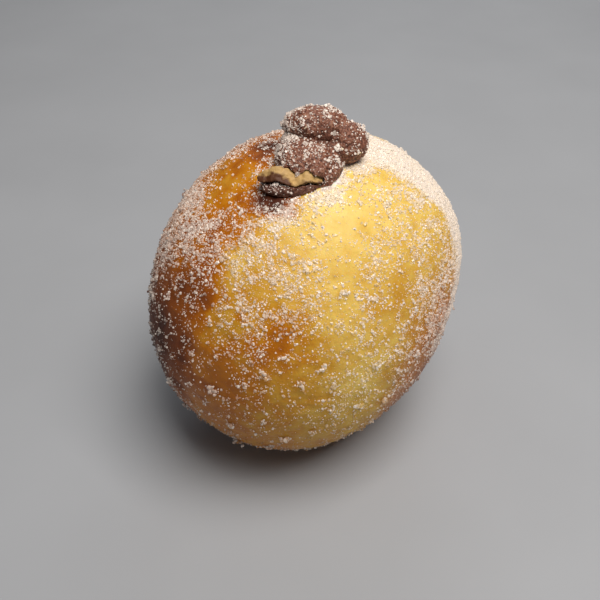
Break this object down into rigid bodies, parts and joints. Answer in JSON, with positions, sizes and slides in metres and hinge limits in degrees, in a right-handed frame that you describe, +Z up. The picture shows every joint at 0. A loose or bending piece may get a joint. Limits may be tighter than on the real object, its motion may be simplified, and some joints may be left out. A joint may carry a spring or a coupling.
{
  "type": "bombolone",
  "caption": "Plump sugar-coated round doughnut resting on its rim, thick chocolate and hazelnut cream swelling from the filling hole on top.",
  "frame": {"origin": "middle of the small flat that the doughnut rests on", "axes": "+Z up through the filling, +X away from the darker fried face, the flattened direction, +Y along the round"},
  "size_m": [0.0762, 0.0878, 0.0938],
  "materials": {
    "dough": "soft fried yeast dough, pale golden waist and browned faces, coated with coarse white sugar",
    "filling": "thick matte chocolate and hazelnut cream, sprinkled with sugar",
    "crust_flap": "dry tan torn crust"
  },
  "bodies": {
    "root": {"dough": "dough", "filling": "filling", "crust_flap": "crust_flap"}
  },
  "joints": []
}
